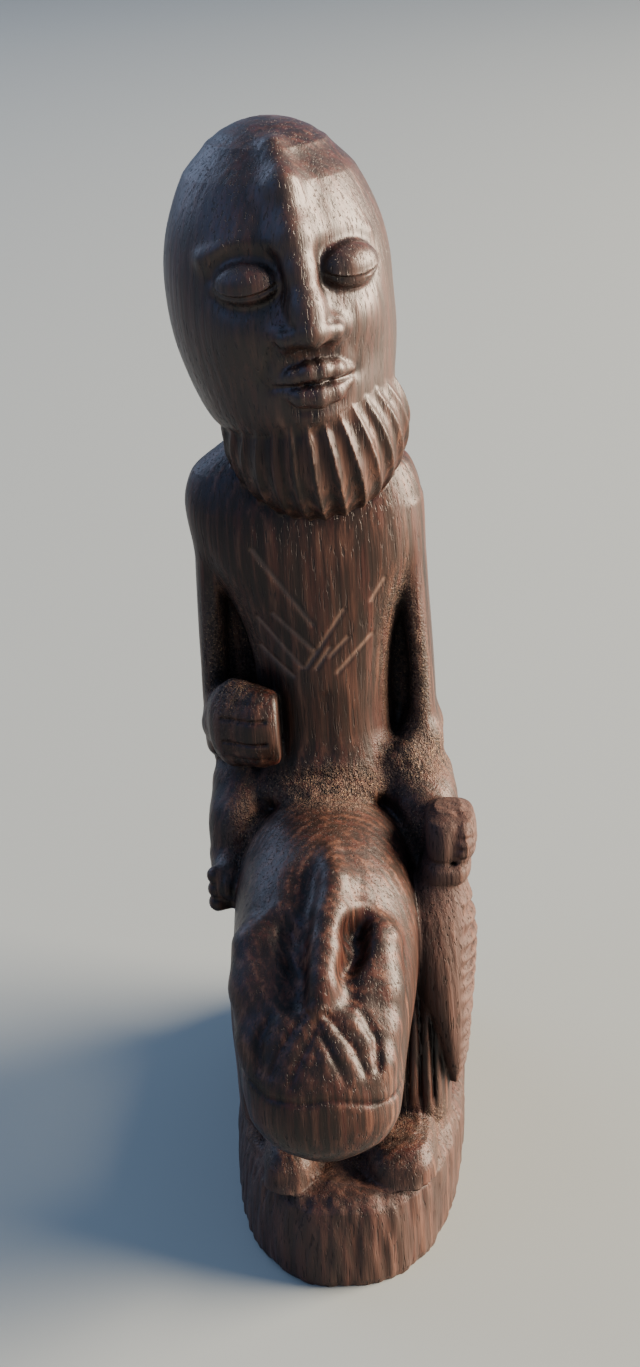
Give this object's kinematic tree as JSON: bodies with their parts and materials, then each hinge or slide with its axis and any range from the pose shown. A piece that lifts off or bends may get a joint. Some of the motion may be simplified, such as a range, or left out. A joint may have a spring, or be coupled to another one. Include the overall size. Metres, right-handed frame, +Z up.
{
  "type": "carved wooden figure",
  "caption": "Dark wood carving of a bearded rider astride a long-headed beast on an oval base, an ornament that stands on a flat surface.",
  "frame": {"origin": "centre of the base's flat underside", "axes": "+Z up, the figure faces -Y, and +X is the rider's left"},
  "size_m": [0.0248, 0.0571, 0.1],
  "materials": {
    "dark_wood": "hand-polished dark hardwood, satin, with tooled matt hollows",
    "raw_wood": "tooled dark hardwood, matt, with upright fibres"
  },
  "bodies": {
    "root": {"base": "raw_wood", "right_foreleg": "dark_wood", "left_foreleg": "dark_wood", "right_hind_leg": "dark_wood", "left_hind_leg": "dark_wood", "beast_body": "dark_wood", "beast_head": "dark_wood", "beast_right_brow": "dark_wood", "beast_left_brow": "dark_wood", "crest": "dark_wood", "muzzle_ribs": "dark_wood", "tail": "dark_wood", "scalloped_strap": "dark_wood", "rider_torso": "dark_wood", "rider_right_arm": "dark_wood", "rider_left_arm": "dark_wood", "rider_right_hand": "dark_wood", "rider_left_hand": "dark_wood", "rider_right_leg": "dark_wood", "rider_left_leg": "dark_wood", "rider_right_foot": "dark_wood", "rider_left_foot": "dark_wood", "beard": "dark_wood", "rider_head": "dark_wood", "rider_right_eye": "dark_wood", "rider_left_eye": "dark_wood", "rider_nose": "dark_wood", "rider_lips": "dark_wood"}
  },
  "joints": []
}
